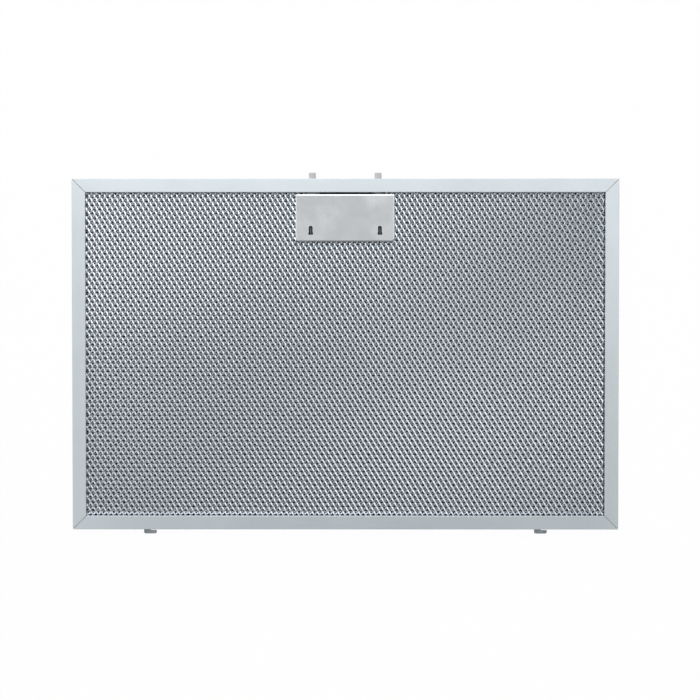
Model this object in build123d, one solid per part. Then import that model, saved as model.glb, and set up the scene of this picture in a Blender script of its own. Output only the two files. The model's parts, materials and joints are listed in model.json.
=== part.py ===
from build123d import *
import os
from math import atan2, cos, hypot, pi, sin, sqrt

# Cooker hood filter: four mitred channel rails grip a pack of expanded-metal sheets.
# A sprung latch with two pegs sits at the top rail, and two hook lugs stand out of the bottom rail.
# The filter lies on its back (z = 0) with the latch face up. X runs along the long side and +Y points
# to the latch. The origin is at the middle of the frame. All sizes are in millimetres.

# Frame
frame_length = 500.0
frame_width = 321.0
frame_depth = 10.0
rail_face = 12.5          # width of a rail as seen from the front
rail_wall = 1.0
rail_bend = 0.4           # outside radius of the rolled edges
rear_lip = 1.6            # height of the lip that carries the sheets from behind
mitre_gap = 0.35          # open line between two rails at a corner
key_leg = 26.0            # length of each leg of a corner key
key_depth = 2.6
key_taper = 2.0           # lead-in at the end of a key's leg
key_gap = 0.1

# Expanded-metal sheets
outer_sheet_depth = 1.1
inner_sheet_depth = 0.6
inner_sheet_count = 3
coarse_short_way = 4.73   # diamond of the front and rear sheets
coarse_long_way = 8.0
fine_short_way = 3.54     # diamond of the inner sheets
fine_long_way = 7.13
outer_ridge = 0.6         # height of a strand above the valleys beside it
inner_ridge = 0.35
inner_strands_per_ridge = 2
open_share = 0.70         # opening of a diamond as a share of the diamond
gap_columns = 12
gap_rows = 10
edge_play = 0.6           # room between a sheet's edge and the lugs' feet

# Latch cover
plate_length = 90.8
plate_height = 43.5
plate_sheet = 0.8
plate_bend = 1.3
plate_corner = 3.4        # radius of the two lower corners
plate_to_rail = 1.5
plate_skirt = 3.4         # depth of the folded sides
plate_hem = 1.3           # depth of the short fold along the top edge
keyhole_spacing = 63.2
keyhole_width = 3.5
keyhole_height = 8.2
keyhole_foot_width = 4.3
keyhole_foot_height = 2.4
keyhole_foot_radius = 0.9
keyhole_above_edge = 6.2

# Latch base
base_sheet = 0.5
base_side_gap = 0.9       # between the base and the folded sides of the cover
base_end_gap = 1.5        # from the cover's ends to the base's ends
base_lip = 3.2
hook_width = 48.0
hook_height = 2.5

# Latch slider
slide_gap = 0.2
peg_spacing = 60.0
peg_width = 6.4
peg_thickness = 2.1
peg_reach = 5.5           # how far a peg stands out of the rail
peg_play = 0.3
peg_lead = 0.6            # chamfer round the tip
peg_step_width = 1.5
peg_step_depth = 0.45
ledge_depth = 1.0
boss_width = 1.0
boss_length = 4.2
boss_recess = 2.4         # from the cover's face down to the boss
well_margin = 0.6         # from a keyhole to the side of the well under it
well_rib = 0.7            # height of the rib across the well that carries the boss

# Springs
spring_spacing = 24.0
spring_diameter = 2.6
spring_wire = 0.42
spring_length = 16.0
spring_turns = 6
spring_steps = 12         # straight steps in one turn
spring_end_gap = 0.1
spring_from_top = 4.0     # from the slider's upper edge to the spring's seat
perch_width = 4.0

# Lugs
lug_from_end = 70.8       # from a side of the frame to the middle of the lug
lug_width = 11.6
lug_reach = 4.3
lug_sheet = 1.0
lug_corner = 1.4
lug_foot_width = 22.0
lug_play = 0.2
lug_notch_length = 5.4
lug_notch_width = 1.1

# Levels that several pieces share
half_length = frame_length / 2
half_width = frame_width / 2
pack_depth = 2 * outer_sheet_depth + inner_sheet_count * inner_sheet_depth
pack_top = rear_lip + pack_depth
base_floor = pack_top + base_sheet
lip_edge = base_floor + slide_gap
chamber_top = frame_depth - rail_wall
plate_inside = frame_depth - plate_sheet
slider_floor = base_floor + slide_gap
ledge_top = slider_floor + ledge_depth
base_top = ledge_top + slide_gap + base_sheet
peg_middle = (base_floor + chamber_top) / 2

# Places along Y
rail_inner_y = half_width - rail_face
plate_top_y = rail_inner_y - plate_to_rail
plate_bottom_y = plate_top_y - plate_height
slider_top_y = plate_top_y - plate_sheet - slide_gap
slider_bottom_y = plate_bottom_y + plate_sheet + slide_gap
spring_seat_y = slider_top_y - spring_from_top
spring_top_y = spring_seat_y - spring_end_gap
spring_bottom_y = spring_top_y - spring_length
perch_top_y = spring_bottom_y - spring_end_gap
perch_bottom_y = perch_top_y - base_sheet
keyhole_bottom_y = plate_bottom_y + keyhole_above_edge

# Widths along X
lug_spacing = frame_length - 2 * lug_from_end
base_half = plate_length / 2 - plate_sheet - base_side_gap
ledge_half = base_half - base_sheet - slide_gap
deck_half = base_half - base_lip - slide_gap

# The sheets stop short of the lugs' feet, which lie against the inside of the rail
sheet_setback = rail_wall + lug_sheet + edge_play
sheet_length = frame_length - 2 * sheet_setback
sheet_width = frame_width - 2 * sheet_setback


def block(x_range, y_range, z_range):
    """A box between the given limits."""
    size = [high - low for low, high in (x_range, y_range, z_range)]
    corner = [low for low, high in (x_range, y_range, z_range)]
    return Pos(*corner) * Box(*size, align=(Align.MIN, Align.MIN, Align.MIN))


def lipped_channel(back, flange, wall, bend, first_lip, second_lip):
    """Section of a rolled channel: the back lies along x from the origin, and the flanges stand up along y."""
    corner = (Align.MIN, Align.MIN)
    outside = Rectangle(back, flange, align=corner)
    outside = fillet(outside.vertices(), bend)
    hollow = Pos(wall, wall) * Rectangle(back - 2 * wall, flange - 2 * wall, align=corner)
    mouth = Pos(first_lip, flange - wall) * Rectangle(back - first_lip - second_lip, wall, align=corner)
    return outside - hollow - mouth


def rail(length, half_span):
    """A rail along X whose outer face is half_span away on the -Y side, with both ends mitred."""
    section = lipped_channel(frame_depth, rail_face, rail_wall, rail_bend, rear_lip, frame_depth - lip_edge)
    section_plane = Plane(origin=(0, -half_span, 0), x_dir=(0, 0, 1), z_dir=(-1, 0, 0))
    bar = extrude(section_plane * section, amount=length / 2, both=True)
    outer_half = length / 2 - mitre_gap / sqrt(2) + rail_wall
    inner_half = outer_half - rail_face - 2 * rail_wall
    outer_y = -half_span - rail_wall
    inner_y = -half_span + rail_face + rail_wall
    outline = Polyline(
        (-outer_half, outer_y), (outer_half, outer_y), (inner_half, inner_y), (-inner_half, inner_y), close=True
    )
    return bar & extrude(make_face(outline), amount=frame_depth)


def mirrored_x(spacing):
    """The two places, left and right, that a pair with this spacing has."""
    return (-spacing / 2, spacing / 2)


def make_rail_top():
    """The rail at the latch, with a slot in its back and a notch in its lip for each peg."""
    body = Rot(0, 0, 180) * rail(frame_length, half_width)
    slot_half = peg_width / 2 + peg_play
    low = peg_middle - peg_thickness / 2 - peg_play
    high = peg_middle + peg_thickness / 2 + peg_play
    for x in mirrored_x(peg_spacing):
        across = (x - slot_half, x + slot_half)
        body -= block(across, (half_width - rail_wall, half_width), (low, high))
        body -= block(across, (rail_inner_y, rail_inner_y + rail_wall), (lip_edge, high))
    return body


def make_rail_bottom():
    """The rail opposite the latch, with a slot in its back for each lug."""
    body = rail(frame_length, half_width)
    slot_half = lug_width / 2 + lug_play
    low = pack_top - lug_sheet - lug_play
    high = pack_top + lug_play
    for x in mirrored_x(lug_spacing):
        body -= block((x - slot_half, x + slot_half), (-half_width, -half_width + rail_wall), (low, high))
    return body


def make_corner_key(turn_x, turn_y):
    """An angle plate in the channel behind the front face, for the corner in the given quadrant."""
    setback = rail_wall + key_gap
    leg = key_leg - setback
    width = rail_face - 2 * rail_wall - 2 * key_gap
    outline = Polyline(
        (0, 0),
        (leg - key_taper, 0),
        (leg, key_taper),
        (leg, width - key_taper),
        (leg - key_taper, width),
        (width, width),
        (width, leg - key_taper),
        (width - key_taper, leg),
        (key_taper, leg),
        (0, leg - key_taper),
        close=True,
    )
    plate = extrude(make_face(outline), amount=key_depth)
    if turn_x < 0:
        plate = mirror(plate, about=Plane.YZ)
    if turn_y < 0:
        plate = mirror(plate, about=Plane.XZ)
    corner_x = -turn_x * (half_length - setback)
    corner_y = -turn_y * (half_width - setback)
    return Pos(corner_x, corner_y, chamber_top - key_depth) * plate


def ridged_sheet(depth, ridge, cell_x, cell_y, strands_per_ridge):
    """A sheet on z = 0 whose upper face has ridges along the falling strands of its diamonds."""
    strand_angle = atan2(cell_y, -cell_x)
    pitch = strands_per_ridge * cell_x * sin(strand_angle)
    reach = (sheet_length * abs(sin(strand_angle)) + sheet_width * abs(cos(strand_angle))) / 2
    steps = 2 * int(reach / pitch + 1)
    profile = [(-steps * pitch / 2, 0), (steps * pitch / 2, 0)]
    for step in range(steps, -steps - 1, -1):
        height = depth if step % 2 else depth - ridge
        profile.append((step * pitch / 2, height))
    along = (cos(strand_angle), sin(strand_angle), 0)
    across = (-sin(strand_angle), cos(strand_angle), 0)
    section = Plane(origin=(0, 0, 0), x_dir=across, z_dir=along) * make_face(Polyline(*profile, close=True))
    slab = extrude(section, amount=hypot(sheet_length, sheet_width) / 2, both=True)
    return slab & Box(sheet_length, sheet_width, 3 * depth)


def gap_places(cell_x, cell_y, columns, rows):
    """Places spread over the visible part of a sheet, each in the middle of one of its diamonds."""
    step_x = (frame_length - 2 * rail_face) / columns
    step_y = (frame_width - 2 * rail_face) / rows
    places = []
    for column in range(columns):
        for row in range(rows):
            cell_column = round((column - (columns - 1) / 2) * step_x / (cell_x / 2))
            cell_row = round((row - (rows - 1) / 2) * step_y / (cell_y / 2))
            cell_column += (cell_column + cell_row) % 2
            places.append(Pos(cell_column * cell_x / 2, cell_row * cell_y / 2))
    return places


def make_outer_sheet(columns, rows):
    """The coarse sheet, upright diamonds, on z = 0 with its strands on the upper face."""
    sheet = ridged_sheet(outer_sheet_depth, outer_ridge, coarse_short_way, coarse_long_way, 1)
    half_x = open_share * coarse_short_way / 2
    half_y = open_share * coarse_long_way / 2
    diamond = Polyline((half_x, 0), (0, half_y), (-half_x, 0), (0, -half_y), close=True)
    opening = extrude(make_face(diamond), amount=outer_sheet_depth)
    return sheet - [place * opening for place in gap_places(coarse_short_way, coarse_long_way, columns, rows)]


def make_inner_sheet(number):
    """The fine sheets, lying diamonds, one on another behind the front sheet."""
    sheet = ridged_sheet(inner_sheet_depth, inner_ridge, fine_long_way, fine_short_way, inner_strands_per_ridge)
    level = pack_top - outer_sheet_depth - number * inner_sheet_depth
    return Pos(0, 0, level) * sheet


def make_front_mesh():
    """The front sheet, with its strands towards the viewer."""
    return Pos(0, 0, pack_top - outer_sheet_depth) * make_outer_sheet(gap_columns, gap_rows)


def make_rear_mesh():
    """The rear sheet: the front sheet turned over."""
    return Pos(0, 0, rear_lip + outer_sheet_depth) * Rot(180, 0, 0) * make_outer_sheet(gap_columns // 2, gap_rows // 2)


def make_latch_base():
    """Sheet-steel guide: a shallow channel for the slider, a hook behind the rail's lip and two spring perches."""
    section = lipped_channel(2 * base_half, base_top - pack_top, base_sheet, base_sheet, base_lip, base_lip)
    start_y = plate_bottom_y + plate_sheet + base_end_gap
    end_y = plate_top_y - base_end_gap
    section_plane = Plane(origin=(base_half, start_y, pack_top), x_dir=(-1, 0, 0), z_dir=(0, 1, 0))
    guide = extrude(section_plane * section, amount=end_y - start_y)
    hook_y = rail_inner_y + rail_wall + slide_gap
    hook_x = (-hook_width / 2, hook_width / 2)
    guide += block(hook_x, (end_y, hook_y + base_sheet), (pack_top, base_floor))
    guide += block(hook_x, (hook_y, hook_y + base_sheet), (pack_top, base_floor + hook_height))
    perch_height = spring_diameter + slide_gap
    for x in mirrored_x(spring_spacing):
        across = (x - perch_width / 2, x + perch_width / 2)
        guide -= block(across, (perch_bottom_y - perch_height, perch_bottom_y), (pack_top, base_floor))
        guide += block(across, (perch_bottom_y, perch_top_y), (pack_top, base_floor + perch_height))
    return guide


def slider_section():
    """Section of the slider's body: a deck under the cover and a ledge at each side."""
    outline = Polyline(
        (-ledge_half, slider_floor),
        (ledge_half, slider_floor),
        (ledge_half, ledge_top),
        (deck_half, ledge_top),
        (deck_half, plate_inside),
        (-deck_half, plate_inside),
        (-deck_half, ledge_top),
        (-ledge_half, ledge_top),
        close=True,
    )
    return make_face(outline)


def make_peg(x):
    """One latch peg: a flat bar with a chamfered tip and a step along the right side of its front face."""
    tip_y = half_width + peg_reach
    low = peg_middle - peg_thickness / 2
    high = peg_middle + peg_thickness / 2
    peg = block((x - peg_width / 2, x + peg_width / 2), (slider_top_y, tip_y), (low, high))
    peg = chamfer(peg.faces().sort_by(Axis.Y)[-1].edges(), peg_lead)
    step_x = (x + peg_width / 2 - peg_step_width, x + peg_width / 2)
    return peg - block(step_x, (rail_inner_y, tip_y), (high - peg_step_depth, high))


def make_latch_slider():
    """Moulded slider: body, two pegs, a slot for each spring, and a well with a drive boss under each keyhole."""
    section_plane = Plane(origin=(0, slider_top_y, 0), x_dir=(1, 0, 0), z_dir=(0, -1, 0))
    body = extrude(section_plane * slider_section(), amount=slider_top_y - slider_bottom_y)
    for x in mirrored_x(peg_spacing):
        body += make_peg(x)
    slot_half = max(spring_diameter, perch_width) / 2 + slide_gap
    slot_y = (perch_bottom_y - spring_end_gap, spring_seat_y)
    for x in mirrored_x(spring_spacing):
        body -= block((x - slot_half, x + slot_half), slot_y, (slider_floor, plate_inside))
    well_half = keyhole_foot_width / 2 + well_margin
    well_y = (keyhole_bottom_y - well_margin, keyhole_bottom_y + keyhole_height + well_margin)
    boss_top_y = keyhole_bottom_y + keyhole_height - keyhole_width / 2
    boss_y = (boss_top_y - boss_length, boss_top_y)
    for x in mirrored_x(keyhole_spacing):
        body -= block((x - well_half, x + well_half), well_y, (slider_floor, plate_inside))
        boss_x = (x - boss_width / 2, x + boss_width / 2)
        body += block(boss_x, well_y, (slider_floor, slider_floor + well_rib))
        body += block(boss_x, boss_y, (slider_floor, frame_depth - boss_recess))
    return body


def keyhole(x):
    """A narrow slot with a round top and a wider foot."""
    radius = keyhole_width / 2
    round_y = keyhole_bottom_y + keyhole_height - radius
    stem_height = round_y - keyhole_bottom_y
    stem = Pos(x, keyhole_bottom_y) * Rectangle(keyhole_width, stem_height, align=(Align.CENTER, Align.MIN))
    foot_y = keyhole_bottom_y + keyhole_foot_height / 2
    foot = Pos(x, foot_y) * RectangleRounded(keyhole_foot_width, keyhole_foot_height, keyhole_foot_radius)
    return stem + Pos(x, round_y) * Circle(radius) + foot


def make_latch_plate():
    """Pressed steel cover: a tray with folded sides, a short fold at the top and two keyholes."""
    middle_y = (plate_top_y + plate_bottom_y) / 2
    outline = Pos(0, middle_y) * Rectangle(plate_length, plate_height)
    outline = fillet(outline.vertices().group_by(Axis.Y)[0], plate_corner)
    blank = Pos(0, 0, frame_depth - plate_skirt) * extrude(outline, amount=plate_skirt)
    front_edges = blank.faces().sort_by(Axis.Z)[-1].edges()
    inside = offset(outline, amount=-plate_sheet)
    hollow = Pos(0, 0, frame_depth - plate_skirt) * extrude(inside, amount=plate_skirt - plate_sheet)
    tray = fillet(front_edges, plate_bend) - hollow
    across = (-plate_length / 2, plate_length / 2)
    fold_y = (plate_top_y - plate_bend, plate_top_y)
    tray -= block(across, fold_y, (frame_depth - plate_skirt, frame_depth - plate_hem))
    for x in mirrored_x(keyhole_spacing):
        tray -= Pos(0, 0, plate_inside - plate_sheet) * extrude(keyhole(x), amount=2 * plate_sheet)
    return tray


def make_spring(x):
    """A compression spring along Y between the slider's seat and the base's perch."""
    coil_radius = spring_diameter / 2 - spring_wire / 2 / cos(pi / spring_steps)
    step_rise = (spring_length - spring_wire) / (spring_turns * spring_steps)
    points = []
    for step in range(spring_turns * spring_steps + 1):
        angle = 2 * pi * step / spring_steps
        points.append((coil_radius * cos(angle), coil_radius * sin(angle), step * step_rise))
    path = Polyline(*points)
    outward = (cos(pi / spring_steps), sin(pi / spring_steps), 0)
    section = Plane(origin=points[0], x_dir=outward, z_dir=path % 0) * Rectangle(spring_wire, spring_wire)
    coil = sweep(section, path=path, transition=Transition.RIGHT)
    level = base_floor + slide_gap + spring_diameter / 2
    return Pos(x, spring_bottom_y + spring_wire / 2, level) * Rot(-90, 0, 0) * coil


def make_lug(x):
    """A folded lug: its foot lies inside the rail and its tongue, notched into a hook, stands out below."""
    inside_y = -half_width + rail_wall
    tongue_low = pack_top - lug_sheet
    foot_x = (x - lug_foot_width / 2, x + lug_foot_width / 2)
    foot = block(foot_x, (inside_y, inside_y + lug_sheet), (rear_lip, pack_top))
    tip_y = -half_width - lug_reach
    tongue_length = inside_y - tip_y
    outline = Pos(x, tip_y) * Rectangle(lug_width, tongue_length, align=(Align.CENTER, Align.MIN))
    outline = fillet(outline.vertices().group_by(Axis.Y)[0], lug_corner)
    notch_corner = (x + lug_width / 2, -half_width)
    outline -= Pos(*notch_corner) * Rectangle(lug_notch_length, lug_notch_width, align=(Align.MAX, Align.MAX))
    return foot + Pos(0, 0, tongue_low) * extrude(outline, amount=lug_sheet)


def make_parts():
    """Every piece of the filter by name."""
    left_x, right_x = mirrored_x(spring_spacing)
    lug_left_x, lug_right_x = mirrored_x(lug_spacing)
    pieces = {
        "rail_top": make_rail_top(),
        "rail_bottom": make_rail_bottom(),
        "rail_left": Rot(0, 0, -90) * rail(frame_width, half_length),
        "rail_right": Rot(0, 0, 90) * rail(frame_width, half_length),
        "front_mesh": make_front_mesh(),
        "rear_mesh": make_rear_mesh(),
        "latch_base": make_latch_base(),
        "latch_slider": make_latch_slider(),
        "latch_plate": make_latch_plate(),
        "spring_left": make_spring(left_x),
        "spring_right": make_spring(right_x),
        "lug_left": make_lug(lug_left_x),
        "lug_right": make_lug(lug_right_x),
    }
    for number in range(1, inner_sheet_count + 1):
        pieces[f"inner_mesh_{number}"] = make_inner_sheet(number)
    quadrants = [(1, 1), (-1, 1), (-1, -1), (1, -1)]
    for number, (turn_x, turn_y) in enumerate(quadrants, start=1):
        pieces[f"corner_key_{number}"] = make_corner_key(turn_x, turn_y)
    return pieces


os.makedirs("parts", exist_ok=True)
for name, piece in make_parts().items():
    export_step(piece, f"parts/{name}.step")
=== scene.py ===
import json
import math
from collections import namedtuple

import bpy
import numpy as np
from mathutils import Euler, Matrix, Vector


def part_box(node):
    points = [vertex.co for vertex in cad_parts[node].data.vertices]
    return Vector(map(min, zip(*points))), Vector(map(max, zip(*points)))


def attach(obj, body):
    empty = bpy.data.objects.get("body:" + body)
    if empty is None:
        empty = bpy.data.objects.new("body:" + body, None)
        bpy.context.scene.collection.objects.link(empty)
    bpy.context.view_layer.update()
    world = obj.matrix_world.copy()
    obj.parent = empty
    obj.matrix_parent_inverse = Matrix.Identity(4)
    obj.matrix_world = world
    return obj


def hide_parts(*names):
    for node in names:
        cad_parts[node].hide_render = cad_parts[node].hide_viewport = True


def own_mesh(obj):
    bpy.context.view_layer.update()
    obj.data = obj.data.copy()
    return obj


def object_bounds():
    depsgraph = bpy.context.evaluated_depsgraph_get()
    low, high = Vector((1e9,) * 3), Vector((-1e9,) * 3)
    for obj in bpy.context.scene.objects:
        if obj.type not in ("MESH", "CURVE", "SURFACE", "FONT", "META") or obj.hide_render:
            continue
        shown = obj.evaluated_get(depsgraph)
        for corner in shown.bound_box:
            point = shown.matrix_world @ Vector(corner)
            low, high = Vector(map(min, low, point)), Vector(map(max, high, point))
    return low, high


# Cooker hood filter: its finishes, its expanded-metal sheets and its springs.
# The filter lies on its back on the floor. X runs along its long side and +Y points to the latch.
# Lengths are in metres.

MM = 0.001

# Expanded metal: the pitch of its diamonds along their short way and their long way, then the bonds in which
# its strands meet: half their width, their length, the rise of foot and head over the middle, and their lean
Weave = namedtuple("Weave", "short_way long_way bond_half bond foot_rise head_rise lean_deg")
COARSE = Weave(4.73 * MM, 8.0 * MM, 0.6 * MM, 2.7 * MM, 0.26 * MM, 0.08 * MM, 30.0)
FINE = Weave(3.54 * MM, 7.13 * MM, 0.7 * MM, 0.0, 0.0, 0.0, 14.0)
LEAN_SPREAD_DEG = 1.0          # unevenness from one bond to the next
LEAN_LIMIT = 2                 # most unevenness, in spreads
WAVE_HEIGHT = 0.12 * MM        # slow drift of the rows in the sheet's own plane
WAVE_LENGTH = 140 * MM
WAVE_START = 1.0               # angle at which the drift across starts
SHEET_SEED = 5

# Corners of a bond, in their order
LEFT, FOOT, RIGHT, HEAD = range(4)

# Springs
SPRING_TURNS = 6
SPRING_WIRE = 0.42 * MM
SPRING_STEPS = 24              # steps in one turn
SPRING_SIDES = 8               # sides of the wire

# Camera: its distance from the front face, its lean towards the latch and to the right, the width of its view
# at that face, and the place there that it looks at
CAMERA_DISTANCE = 1.6
CAMERA_LEAN_DEG = 1.3
CAMERA_ASIDE_DEG = 0.2
VIEW_WIDTH = 640.0 * MM
AIM_X = 4.3 * MM
AIM_Y = 4.0 * MM
SENSOR_WIDTH = 36.0            # in millimetres

# Light
ROOM_WAY = (-0.6, 0.8, 0.0)    # from the dim corner of the room to the bright one
ROOM_TONES = (                 # share of that way in a direction, and the colour of the fill light there
    (-0.36, (0.24, 0.255, 0.265)),
    (-0.12, (0.55, 0.58, 0.60)),
    (0.20, (0.56, 0.59, 0.61)),
    (0.80, (1.10, 1.13, 1.15)),
)
LAMPS = (                      # name, place, size and power of each soft box
    ("key", (-0.04, 0.59, 1.6), (0.70, 0.55), 1.0),
    ("top", (-0.22, 0.80, 1.0), (1.2, 0.7), 4.4),
    ("side", (0.73, 0.11, 0.8), (0.58, 0.47), 1.0),
    ("low", (0.42, -0.52, 0.8), (0.4, 0.4), 0.12),
    ("left", (-0.60, -0.20, 0.9), (0.5, 0.5), 0.30),
    ("right", (0.58, 0.47, 1.6), (0.36, 0.3), 0.5),
)
FLOOR_GAP = 0.2 * MM           # from the filter's back to the floor
FLOOR_SIZE = 8.0
FLOOR_COLOUR = (0.9, 0.9, 0.9, 1.0)
FLOOR_GLOW = 0.97              # share of the floor's white that doesn't depend on the lamps

# Most of a noise lies between these two values
NOISE_LOW = 0.3
NOISE_HIGH = 0.7


# Node helpers

def add_node(tree, kind, inputs=None, **settings):
    """A new node of the given kind, with its settings and the values of its inputs."""
    node = tree.nodes.new(kind)
    for name, value in settings.items():
        setattr(node, name, value)
    for name, value in (inputs or {}).items():
        node.inputs[name].default_value = value
    return node


def evenly(repeats):
    """The same number of repeats along X, Y and Z."""
    return (repeats, repeats, repeats)


def noise(tree, repeats, detail=3.0):
    """Noise over the part's own coordinates, with this many repeats in a metre along X, Y and Z."""
    places = add_node(tree, "ShaderNodeTexCoord")
    scaled = add_node(tree, "ShaderNodeMapping", {"Scale": repeats})
    texture = add_node(tree, "ShaderNodeTexNoise", {"Scale": 1.0, "Detail": detail})
    tree.links.new(places.outputs["Object"], scaled.inputs["Vector"])
    tree.links.new(scaled.outputs["Vector"], texture.inputs["Vector"])
    return texture.outputs["Fac"]


def spread(tree, value, low, high):
    """Noise stretched to run from low to high."""
    limits = {"From Min": NOISE_LOW, "From Max": NOISE_HIGH, "To Min": low, "To Max": high}
    mapped = add_node(tree, "ShaderNodeMapRange", limits)
    tree.links.new(value, mapped.inputs["Value"])
    return mapped.outputs["Result"]


def blend_colours(tree, value, dark, light):
    """A colour that goes from dark to light with the value."""
    mix = add_node(tree, "ShaderNodeMix", data_type="RGBA")
    dark_socket, light_socket, result_socket = mix.inputs[6], mix.inputs[7], mix.outputs[2]
    dark_socket.default_value = (*dark, 1.0)
    light_socket.default_value = (*light, 1.0)
    tree.links.new(value, mix.inputs["Factor"])
    return result_socket


def relief(tree, value, height):
    """A normal for a surface whose height follows the value."""
    bump = add_node(tree, "ShaderNodeBump", {"Strength": 1.0, "Distance": height})
    tree.links.new(value, bump.inputs["Height"])
    return bump.outputs["Normal"]


def new_material(name, metallic):
    """A material with its node tree and its shader."""
    material = bpy.data.materials.new(name)
    material.use_nodes = True
    tree = material.node_tree
    shader = tree.nodes["Principled BSDF"]
    shader.inputs["Metallic"].default_value = metallic
    return material, tree, shader


# Finishes

def grained(name, dark, light, roughness, grain, cloud, height):
    """A metal with soft clouds in its colour, and a fine grain in its roughness and relief."""
    material, tree, shader = new_material(name, metallic=1.0)
    clouds = spread(tree, noise(tree, cloud), 0.0, 1.0)
    grains = noise(tree, grain)
    tree.links.new(blend_colours(tree, clouds, dark, light), shader.inputs["Base Color"])
    tree.links.new(spread(tree, grains, *roughness), shader.inputs["Roughness"])
    tree.links.new(relief(tree, grains, height), shader.inputs["Normal"])
    return material


def satin_aluminium(name, along_x):
    """Anodised rail: faint drawing lines that run along the rail."""
    along = 12.0
    across = 2600.0
    return grained(
        name,
        dark=(0.69, 0.73, 0.75),
        light=(0.73, 0.77, 0.79),
        roughness=(0.36, 0.46),
        grain=(along, across, across) if along_x else (across, along, across),
        cloud=evenly(22),
        height=0.002 * MM,
    )


def sheet_aluminium(name, dark, light, roughness):
    """Bare expanded aluminium, a little clouded by its rolling oil."""
    material, tree, shader = new_material(name, metallic=1.0)
    clouds = spread(tree, noise(tree, evenly(260)), 0.0, 1.0)
    tree.links.new(blend_colours(tree, clouds, dark, light), shader.inputs["Base Color"])
    shader.inputs["Roughness"].default_value = roughness
    return material


def polished_steel(name):
    """Bright pressed steel with a slow waviness from the press."""
    wave_height = 0.25 * MM
    material, tree, shader = new_material(name, metallic=1.0)
    clouds = spread(tree, noise(tree, evenly(30)), 0.0, 1.0)
    waves = noise(tree, (26, 20, 20), detail=1.0)
    colour = blend_colours(tree, clouds, dark=(0.87, 0.86, 0.86), light=(0.91, 0.90, 0.90))
    tree.links.new(colour, shader.inputs["Base Color"])
    tree.links.new(spread(tree, clouds, 0.10, 0.18), shader.inputs["Roughness"])
    tree.links.new(relief(tree, waves, wave_height), shader.inputs["Normal"])
    return material


def plastic_with_painted_shade(name, start_y, end_y):
    """Grey moulded plastic, painted dark below start_y as shade and growing pale up to end_y."""
    mottling = 0.1
    grain_height = 0.01 * MM
    material, tree, shader = new_material(name, metallic=0.0)
    places = add_node(tree, "ShaderNodeTexCoord")
    parts = add_node(tree, "ShaderNodeSeparateXYZ")
    limits = {"From Min": start_y, "From Max": end_y, "To Max": 1 - mottling}
    shade_to_pale = add_node(tree, "ShaderNodeMapRange", limits)
    mottled = add_node(tree, "ShaderNodeMath", operation="ADD")
    grains = noise(tree, evenly(2500))
    tree.links.new(places.outputs["Object"], parts.inputs["Vector"])
    tree.links.new(parts.outputs["Y"], shade_to_pale.inputs["Value"])
    tree.links.new(shade_to_pale.outputs["Result"], mottled.inputs[0])
    tree.links.new(spread(tree, noise(tree, evenly(80)), 0.0, mottling), mottled.inputs[1])
    # The dark end is painted shade for the slider seen in the keyholes and in the gap above the cover; the
    # pale end is the plastic's own grey on the pegs.
    colour = blend_colours(tree, mottled.outputs[0], dark=(0.16, 0.16, 0.16), light=(0.60, 0.59, 0.59))
    tree.links.new(colour, shader.inputs["Base Color"])
    tree.links.new(spread(tree, grains, 0.42, 0.58), shader.inputs["Roughness"])
    tree.links.new(relief(tree, grains, grain_height), shader.inputs["Normal"])
    return material


def make_finishes():
    """Every finish by the record's name for it, the rails' by their direction."""
    rail_low, rail_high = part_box("rail_top")
    return {
        "rail_x": satin_aluminium("satin_aluminium_x", along_x=True),
        "rail_y": satin_aluminium("satin_aluminium_y", along_x=False),
        "coarse_mesh": sheet_aluminium("coarse_mesh", (0.67, 0.71, 0.76), (0.75, 0.79, 0.84), 0.20),
        "fine_mesh": sheet_aluminium("fine_mesh", (0.58, 0.61, 0.65), (0.68, 0.71, 0.75), 0.35),
        # Near-black colour of the inner wall: painted shade for the dark seen deep in the mesh holes.
        "painted_shade_mesh": sheet_aluminium("painted_shade_mesh", (0.03, 0.03, 0.035), (0.06, 0.065, 0.07), 0.45),
        # The keys' near-black colour is painted shade: it stands for the dark in the mitre gaps over them.
        "key_zinc": grained(
            "key_zinc",
            dark=(0.08, 0.085, 0.09),
            light=(0.14, 0.145, 0.15),
            roughness=(0.45, 0.6),
            grain=evenly(900),
            cloud=evenly(60),
            height=0.02 * MM,
        ),
        "polished_steel": polished_steel("polished_steel"),
        "grey_plastic": plastic_with_painted_shade("grey_plastic", rail_low[1], rail_high[1]),
        # The guide's near-black colour is painted shade for the dark keyholes and the gap above the cover.
        "guide_steel": grained(
            "guide_steel",
            dark=(0.02, 0.02, 0.022),
            light=(0.04, 0.04, 0.043),
            roughness=(0.30, 0.45),
            grain=evenly(300),
            cloud=evenly(140),
            height=0.01 * MM,
        ),
        "spring_steel": grained(
            "spring_steel",
            dark=(0.40, 0.41, 0.42),
            light=(0.52, 0.53, 0.54),
            roughness=(0.25, 0.38),
            grain=(1800, 60, 1800),
            cloud=evenly(200),
            height=0.004 * MM,
        ),
        "lug_steel": grained(
            "lug_steel",
            dark=(0.28, 0.31, 0.32),
            light=(0.42, 0.45, 0.46),
            roughness=(0.35, 0.5),
            grain=evenly(700),
            cloud=evenly(260),
            height=0.01 * MM,
        ),
    }


def dress(target, material):
    """Gives an object one material."""
    target.data.materials.clear()
    target.data.materials.append(material)


def mesh_piece(name, points, faces):
    """A mesh object from arrays of points and four-cornered faces."""
    mesh = bpy.data.meshes.new(name)
    mesh.vertices.add(len(points))
    mesh.vertices.foreach_set("co", points.astype(np.float32).ravel())
    mesh.loops.add(faces.size)
    mesh.loops.foreach_set("vertex_index", faces.astype(np.int32).ravel())
    mesh.polygons.add(len(faces))
    mesh.polygons.foreach_set("loop_start", np.arange(0, faces.size, 4, dtype=np.int32))
    mesh.update(calc_edges=True)
    piece = bpy.data.objects.new(name, mesh)
    bpy.context.scene.collection.objects.link(piece)
    return piece


# Expanded-metal sheets
# A sheet has its short way along u and its long way along v, and is centred on the origin.

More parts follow.
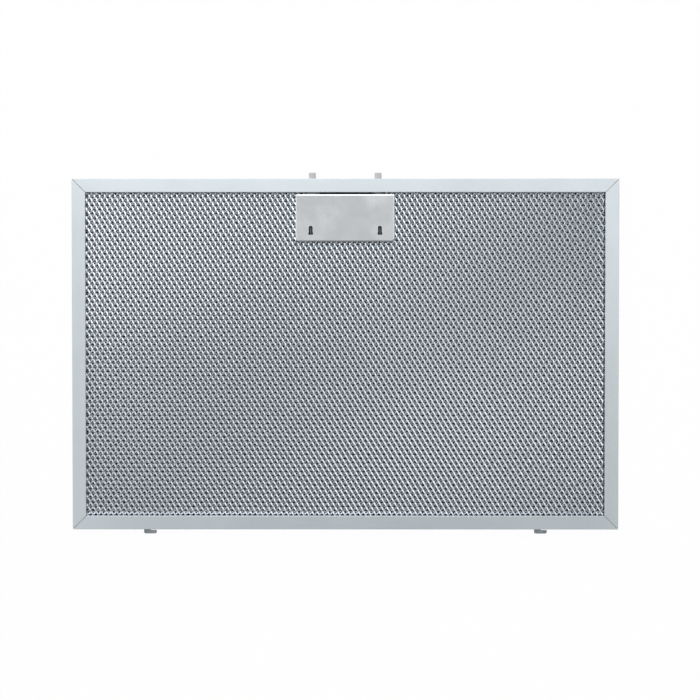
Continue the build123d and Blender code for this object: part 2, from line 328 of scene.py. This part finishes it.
def lay_out_bonds(weave, half_u, half_v):
    """Column and row of each bond in half pitches, and its neighbour's number on each diagonal, or -1."""
    columns = int((half_u - weave.bond_half - WAVE_HEIGHT) / (weave.short_way / 2))
    rows = int((half_v - weave.bond / 2 - WAVE_HEIGHT) / (weave.long_way / 2))
    all_columns, all_rows = np.meshgrid(
        np.arange(-columns, columns + 1), np.arange(-rows, rows + 1), indexing="ij"
    )
    is_bond = (all_columns + all_rows) % 2 == 1
    column = all_columns[is_bond]
    row = all_rows[is_bond]
    border = 1
    number = np.full((2 * (columns + border) + 1, 2 * (rows + border) + 1), -1)
    grid_column = column + columns + border
    grid_row = row + rows + border
    number[grid_column, grid_row] = np.arange(len(column))
    neighbours = {}
    for step_u in (-1, 1):
        for step_v in (-1, 1):
            neighbours[step_u, step_v] = number[grid_column + step_u, grid_row + step_v]
    return column, row, neighbours


def bond_corners(weave, lean):
    """Corners of each bond about its middle; a bond of no length has one point for its foot and its head."""
    drop = weave.bond_half * np.tan(lean)
    corners = np.zeros((len(lean), 4, 3))
    corners[:, LEFT, 0] = -weave.bond_half
    corners[:, LEFT, 2] = drop
    corners[:, FOOT, 1] = -weave.bond / 2
    corners[:, FOOT, 2] = weave.foot_rise
    corners[:, RIGHT, 0] = weave.bond_half
    corners[:, RIGHT, 2] = -drop
    corners[:, HEAD, 1] = weave.bond / 2
    corners[:, HEAD, 2] = weave.head_rise
    return corners if weave.bond else corners[:, :HEAD]


def sheet_points(weave, column, row, depth, seed):
    """Points of a sheet: for each bond its upper corners, then its lower ones."""
    count = len(column)
    draw = np.random.default_rng(seed)
    uneven = np.clip(draw.normal(size=count), -LEAN_LIMIT, LEAN_LIMIT)
    lean = np.radians(weave.lean_deg + LEAN_SPREAD_DEG * uneven)
    steepest = math.radians(weave.lean_deg + LEAN_LIMIT * LEAN_SPREAD_DEG)
    thickness = depth - 2 * weave.bond_half * math.tan(steepest)
    u = column * weave.short_way / 2
    v = row * weave.long_way / 2
    drift_u = WAVE_HEIGHT * np.sin(2 * math.pi * v / WAVE_LENGTH + WAVE_START)
    drift_v = WAVE_HEIGHT * np.sin(2 * math.pi * u / WAVE_LENGTH)
    middles = np.stack((u + drift_u, v + drift_v, np.zeros(count)), axis=1)
    upper = middles[:, None, :] + bond_corners(weave, lean)
    upper[..., 2] += thickness / 2
    lower = upper - np.array((0, 0, thickness))
    return np.concatenate((upper, lower), axis=1).reshape(-1, 3)


def sheet_faces(weave, neighbours):
    """Faces of a sheet: its strands, its bonds, and the bonds' walls where no strand leaves."""
    corners = 4 if weave.bond else 3
    head = HEAD if weave.bond else FOOT
    everyone = np.arange(len(neighbours[1, 1]))
    faces = []

    def corner(bond, which):
        """Number of a bond's upper point; the lower one follows after all upper ones of the bond."""
        return bond * 2 * corners + which

    def add_both_sides(ring):
        """The upper face round a ring of points, and the lower face below it."""
        faces.append(np.stack(ring, axis=1))
        faces.append(np.stack(ring[::-1], axis=1) + corners)

    def add_wall(first, second):
        """Side face below the upper edge from first to second."""
        faces.append(np.stack((second, first, first + corners, second + corners), axis=1))

    strands = (
        (neighbours[1, 1], (head, RIGHT), (FOOT, LEFT)),
        (neighbours[1, -1], (RIGHT, FOOT), (LEFT, head)),
    )
    for other, start, end in strands:
        has_strand = other >= 0
        near = everyone[has_strand]
        far = other[has_strand]
        ring = [corner(near, which) for which in start] + [corner(far, which) for which in end]
        add_both_sides(ring)
        add_wall(ring[1], ring[2])
        add_wall(ring[3], ring[0])
    if weave.bond:
        add_both_sides([corner(everyone, which) for which in (FOOT, RIGHT, HEAD, LEFT)])
    edges = (
        (neighbours[-1, -1], neighbours[-1, 1], LEFT, FOOT),
        (neighbours[1, -1], neighbours[1, 1], FOOT, RIGHT),
        (neighbours[1, 1], neighbours[1, -1], RIGHT, head),
        (neighbours[-1, 1], neighbours[-1, -1], head, LEFT),
    )
    for strand, partner, first, second in edges:
        is_open = strand < 0
        if not weave.bond:
            # A bond of no length has no face of its own, so its wall only ends the other strand on that side
            is_open &= partner >= 0
        bonds = everyone[is_open]
        add_wall(corner(bonds, first), corner(bonds, second))
    return np.concatenate(faces)


def make_sheet(name, node, weave, material, turn, seed):
    """An expanded sheet in the place of a node; turn takes its short way, long way and face to X, Y and Z."""
    low, high = (np.array(corner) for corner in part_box(node))
    rotation = np.array(turn.to_3x3())
    half_u, half_v, half_depth = np.abs(rotation.T @ ((high - low) / 2))
    column, row, neighbours = lay_out_bonds(weave, half_u, half_v)
    points = sheet_points(weave, column, row, 2 * half_depth, seed)
    piece = mesh_piece(name, points @ rotation.T + (low + high) / 2, sheet_faces(weave, neighbours))
    piece.data.shade_flat()
    dress(piece, material)
    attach(piece, "filter")
    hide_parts(node)


# Springs

def make_spring(name, node, material):
    """A round-wire spring in the place of a node."""
    low, high = (np.array(corner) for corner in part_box(node))
    middle = (low + high) / 2
    coil_radius = (high[0] - low[0] - SPRING_WIRE) / 2
    rise = high[1] - low[1] - SPRING_WIRE
    steps = SPRING_TURNS * SPRING_STEPS
    turn = 2 * math.pi * SPRING_TURNS * np.arange(steps + 1) / steps
    outward = np.stack((np.cos(turn), np.zeros(steps + 1), np.sin(turn)), axis=1)
    path = middle + coil_radius * outward
    path[:, 1] = low[1] + SPRING_WIRE / 2 + rise * np.arange(steps + 1) / steps
    angle = 2 * math.pi * np.arange(SPRING_SIDES) / SPRING_SIDES
    rings = (
        path[:, None, :]
        + SPRING_WIRE / 2 * np.cos(angle)[None, :, None] * outward[:, None, :]
        + SPRING_WIRE / 2 * np.sin(angle)[None, :, None] * np.array((0, 1, 0))
    )
    first = np.arange(steps * SPRING_SIDES).reshape(steps, SPRING_SIDES)
    beside = np.roll(first, -1, axis=1)
    skin = np.stack((first, beside, beside + SPRING_SIDES, first + SPRING_SIDES), axis=-1).reshape(-1, 4)
    last = SPRING_SIDES - 1
    end = np.array([(side, side + 1, last - 1 - side, last - side) for side in range(SPRING_SIDES // 2 - 1)])
    faces = np.concatenate((skin, end[:, ::-1], end + steps * SPRING_SIDES))
    piece = mesh_piece(name, rings.reshape(-1, 3), faces)
    dress(piece, material)
    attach(piece, "filter")
    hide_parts(node)
    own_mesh(piece)


# Stage

def seen_rays(tree):
    """1 for rays from the camera and for those that gloss or glass sends on, else 0."""
    path = add_node(tree, "ShaderNodeLightPath")
    first = add_node(tree, "ShaderNodeMath", operation="MAXIMUM")
    both = add_node(tree, "ShaderNodeMath", operation="MAXIMUM")
    tree.links.new(path.outputs["Is Camera Ray"], first.inputs[0])
    tree.links.new(path.outputs["Is Glossy Ray"], first.inputs[1])
    tree.links.new(first.outputs[0], both.inputs[0])
    tree.links.new(path.outputs["Is Transmission Ray"], both.inputs[1])
    return both.outputs[0]


def make_floor():
    """A wide white floor that keeps a faint shadow of the filter."""
    half = FLOOR_SIZE / 2
    corners = ((-half, -half), (half, -half), (half, half), (-half, half))
    points = np.array([(x, y, -FLOOR_GAP) for x, y in corners])
    floor = mesh_piece("floor", points, np.array([[0, 1, 2, 3]]))
    material = bpy.data.materials.new("floor_white")
    material.use_nodes = True
    tree = material.node_tree
    tree.nodes.clear()
    matt = add_node(tree, "ShaderNodeBsdfDiffuse", {"Color": FLOOR_COLOUR})
    glow = add_node(tree, "ShaderNodeEmission", {"Strength": 1.0})
    mix = add_node(tree, "ShaderNodeMixShader")
    share = add_node(tree, "ShaderNodeMath", {1: FLOOR_GLOW}, operation="MULTIPLY")
    output = add_node(tree, "ShaderNodeOutputMaterial")
    tree.links.new(seen_rays(tree), share.inputs[0])
    tree.links.new(share.outputs[0], mix.inputs["Fac"])
    tree.links.new(matt.outputs[0], mix.inputs[1])
    tree.links.new(glow.outputs[0], mix.inputs[2])
    tree.links.new(mix.outputs[0], output.inputs["Surface"])
    dress(floor, material)


def make_world():
    """A slightly cool fill light that goes from a dim corner of the room to a bright one."""
    world = bpy.data.worlds.new("fill")
    world.use_nodes = True
    tree = world.node_tree
    direction = add_node(tree, "ShaderNodeTexCoord")
    share = add_node(tree, "ShaderNodeVectorMath", {1: ROOM_WAY}, operation="DOT_PRODUCT")
    place = add_node(tree, "ShaderNodeMapRange", {"From Min": -1.0, "From Max": 1.0})
    tones = add_node(tree, "ShaderNodeValToRGB")
    tones.color_ramp.interpolation = "EASE"
    stops = tones.color_ramp.elements
    while len(stops) < len(ROOM_TONES):
        stops.new(0.5)
    for stop, (at_share, colour) in zip(stops, ROOM_TONES):
        stop.position = (at_share + 1) / 2
        stop.color = (*colour, 1.0)
    tree.links.new(direction.outputs["Generated"], share.inputs[0])
    tree.links.new(share.outputs["Value"], place.inputs["Value"])
    tree.links.new(place.outputs["Result"], tones.inputs["Fac"])
    tree.links.new(tones.outputs["Color"], tree.nodes["Background"].inputs["Color"])
    bpy.context.scene.world = world


def make_lamp(name, place, size, power):
    """A soft box that faces the middle of the filter."""
    light = bpy.data.lights.new(name, "AREA")
    light.shape = "RECTANGLE"
    light.size, light.size_y = size
    light.energy = power
    lamp = bpy.data.objects.new(name, light)
    bpy.context.scene.collection.objects.link(lamp)
    lamp.location = place
    lamp.rotation_euler = (-Vector(place)).to_track_quat("-Z", "Y").to_euler()


def make_camera(front):
    """The camera above the filter, leaning a little towards the latch and to the right."""
    data = bpy.data.cameras.new("camera")
    data.sensor_width = SENSOR_WIDTH
    data.lens = SENSOR_WIDTH * CAMERA_DISTANCE / VIEW_WIDTH
    camera = bpy.data.objects.new("camera", data)
    bpy.context.scene.collection.objects.link(camera)
    turn = Euler((-math.radians(CAMERA_LEAN_DEG), math.radians(CAMERA_ASIDE_DEG), 0))
    back = Vector((0, 0, CAMERA_DISTANCE))
    back.rotate(turn)
    camera.location = Vector((AIM_X, AIM_Y, front)) + back
    camera.rotation_euler = turn
    bpy.context.scene.camera = camera


# The filter
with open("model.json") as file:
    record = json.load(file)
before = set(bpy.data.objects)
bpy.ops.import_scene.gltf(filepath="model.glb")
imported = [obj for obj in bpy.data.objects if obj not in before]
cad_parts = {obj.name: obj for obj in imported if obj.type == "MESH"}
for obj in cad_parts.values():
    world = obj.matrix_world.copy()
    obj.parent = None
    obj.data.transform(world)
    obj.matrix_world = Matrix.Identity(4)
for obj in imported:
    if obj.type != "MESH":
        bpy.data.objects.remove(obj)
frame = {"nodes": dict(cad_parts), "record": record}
cad_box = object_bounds()
nodes = frame["nodes"]
finishes = make_finishes()

own_finish = {
    "rail_top": "rail_x",
    "rail_bottom": "rail_x",
    "rail_left": "rail_y",
    "rail_right": "rail_y",
    "inner_mesh_2": "painted_shade_mesh",
}
for subpart in frame["record"]["subparts"]:
    finish = own_finish.get(subpart["node"], subpart["material_slot"])
    dress(nodes[subpart["node"]], finishes[finish])

face_up = Matrix.Identity(4)
face_down = Matrix.Rotation(math.pi, 4, "X")
lying = Matrix.Rotation(-math.pi / 2, 4, "Z")
sheets = (
    ("front_sheet", "front_mesh", COARSE, "coarse_mesh", face_up),
    ("rear_sheet", "rear_mesh", COARSE, "coarse_mesh", face_down),
    ("inner_sheet_1", "inner_mesh_1", FINE, "fine_mesh", lying),
    ("inner_sheet_3", "inner_mesh_3", FINE, "fine_mesh", face_down @ lying),
)
for number, (name, node, weave, slot, turn) in enumerate(sheets):
    make_sheet(name, node, weave, finishes[slot], turn, SHEET_SEED + number)

for side in ("left", "right"):
    make_spring(f"coil_{side}", f"spring_{side}", finishes["spring_steel"])

make_floor()
make_world()
for lamp in LAMPS:
    make_lamp(*lamp)
make_camera(cad_box[1][2])
bpy.context.scene.view_settings.view_transform = "Standard"
